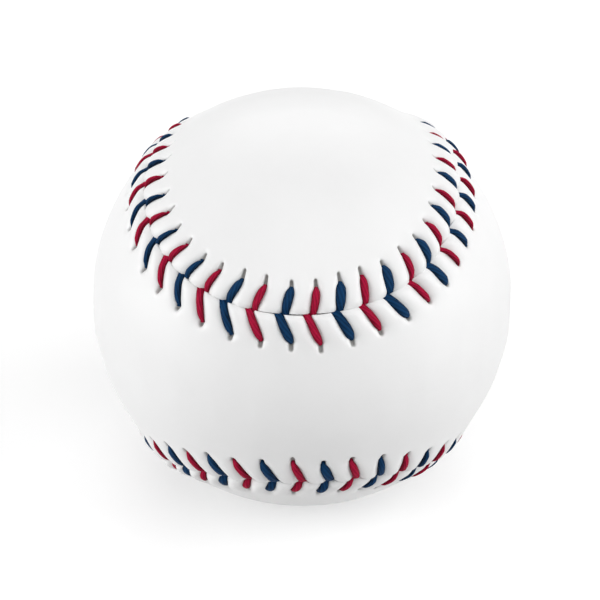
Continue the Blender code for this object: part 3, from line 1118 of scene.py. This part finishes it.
cork, tree, shader = start_material("pressed_cork_grains", roughness=0.85, ior=1.45)
place = add_node(tree, "ShaderNodeTexCoord")
grains = add_node(
    tree,
    "ShaderNodeTexVoronoi",
    {"Scale": 1000 / CORK_GRAIN},
    {"Vector": place.outputs["Object"]},
)
grain_colour = add_node(
    tree,
    "ShaderNodeMix",
    {6: linear("#6B4726"), 7: linear("#C79C66")},
    {"Factor": grains.outputs["Color"]},
    data_type="RGBA",
)
dents = add_node(
    tree,
    "ShaderNodeBump",
    {"Strength": 0.7, "Distance": DENT_DEPTH * MM},
    {"Height": grains.outputs["Distance"]},
    invert=True,
)
tree.links.new(grain_colour.outputs[2], shader.inputs["Base Color"])
tree.links.new(dents.outputs["Normal"], shader.inputs["Normal"])


def moulded_rubber(name, dark, bright):
    """Matt rubber from a mould, between the dark and the bloomed shade of its colour."""
    material, tree, shader = start_material(name, roughness=0.72, ior=1.52)
    place = add_node(tree, "ShaderNodeTexCoord")
    bloom = add_node(
        tree,
        "ShaderNodeTexNoise",
        {"Scale": 1000 / BLOOM_SIZE, "Detail": 4.0},
        {"Vector": place.outputs["Object"]},
    )
    colour = add_node(
        tree,
        "ShaderNodeMix",
        {6: linear(dark), 7: linear(bright)},
        {"Factor": bloom.outputs["Fac"]},
        data_type="RGBA",
    )
    grit = add_node(
        tree, "ShaderNodeTexNoise", {"Scale": 1000 / MOULD_GRIT}, {"Vector": place.outputs["Object"]}
    )
    skin = add_node(
        tree,
        "ShaderNodeBump",
        {"Strength": 0.4, "Distance": GRIT_DEPTH * MM},
        {"Height": grit.outputs["Fac"]},
    )
    tree.links.new(colour.outputs[2], shader.inputs["Base Color"])
    tree.links.new(skin.outputs["Normal"], shader.inputs["Normal"])
    return material


black_rubber = moulded_rubber("moulded_black_rubber", "#101010", "#2A2A29")
red_rubber = moulded_rubber("moulded_red_rubber", "#7A1C16", "#A83A2E")
print(cork.name, black_rubber.name, red_rubber.name)

# %% [markdown]
# ## Wound yarn
#
# Hundreds of metres of wool yarn are wound over the core while it turns every way, and a fine thread
# finishes the ball. A patch of any layer shows some straight strands side by side, and the next patch
# runs another way. Real strands would be far too many to model, so a cell pattern gives each patch its
# own direction, and a wave across that direction draws the strands at their real width. The wave
# raises each strand in bump, and paints shade into the grooves between strands.

# %% Yarn finishes
PATCH_WIDTH = 12.0
STRAND_RELIEF = 0.3


def wound_yarn(name, dark, bright, strand_width):
    """Strands of yarn in patches that each run their own way."""
    material, tree, shader = start_material(name, roughness=0.9, ior=1.5)
    place = add_node(tree, "ShaderNodeTexCoord")
    patches = add_node(
        tree, "ShaderNodeTexVoronoi", {"Scale": 1000 / PATCH_WIDTH}, {"Vector": place.outputs["Object"]}
    )
    centred = add_node(
        tree,
        "ShaderNodeVectorMath",
        {1: (0.5, 0.5, 0.5)},
        {0: patches.outputs["Color"]},
        operation="SUBTRACT",
    )
    direction = add_node(
        tree, "ShaderNodeVectorMath", links={0: centred.outputs[0]}, operation="NORMALIZE"
    )
    across = add_node(
        tree,
        "ShaderNodeVectorMath",
        links={0: place.outputs["Object"], 1: direction.outputs[0]},
        operation="DOT_PRODUCT",
    )
    angle = add_node(
        tree,
        "ShaderNodeMath",
        {1: 2 * math.pi * 1000 / strand_width},
        {0: across.outputs["Value"]},
        operation="MULTIPLY",
    )
    wave = add_node(tree, "ShaderNodeMath", links={0: angle.outputs[0]}, operation="SINE")
    crown = add_node(tree, "ShaderNodeMapRange", {"From Min": -1.0}, {"Value": wave.outputs[0]})
    # Painted shade: the grooves between strands are darker and the crowns lighter.
    colour = add_node(
        tree,
        "ShaderNodeMix",
        {6: linear(dark), 7: linear(bright)},
        {"Factor": crown.outputs[0]},
        data_type="RGBA",
    )
    strands = add_node(
        tree,
        "ShaderNodeBump",
        {"Strength": 0.8, "Distance": STRAND_RELIEF * strand_width * MM},
        {"Height": crown.outputs[0]},
    )
    tree.links.new(colour.outputs[2], shader.inputs["Base Color"])
    tree.links.new(strands.outputs["Normal"], shader.inputs["Normal"])
    return material


grey_wool = wound_yarn("grey_wool_yarn", "#4E4E50", "#8E8E90", strand_width=1.4)
white_wool = wound_yarn("white_wool_yarn", "#B8B2A6", "#E4E0D6", strand_width=1.1)
fine_thread = wound_yarn("fine_white_cotton_thread", "#C8C4BA", "#EFECE4", strand_width=0.5)
print(grey_wool.name, white_wool.name, fine_thread.name)

# %% [markdown]
# ## The inside gets its finishes
#
# The inner pieces are the CAD solids themselves, which come in with plain materials. Each one only
# swaps its plain material for its finish.

# %% Dress the inner pieces
inner_finishes = {
    "cork_core": cork,
    "core_cup_lower": black_rubber,
    "core_cup_upper": black_rubber,
    "core_gasket": red_rubber,
    "core_jacket_lower": red_rubber,
    "core_jacket_upper": red_rubber,
    "first_winding": grey_wool,
    "second_winding": white_wool,
    "third_winding": grey_wool,
    "finishing_winding": fine_thread,
}
for node, finish in inner_finishes.items():
    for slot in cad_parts[node].material_slots:
        slot.material = finish
print(f"{len(inner_finishes)} inner pieces dressed")
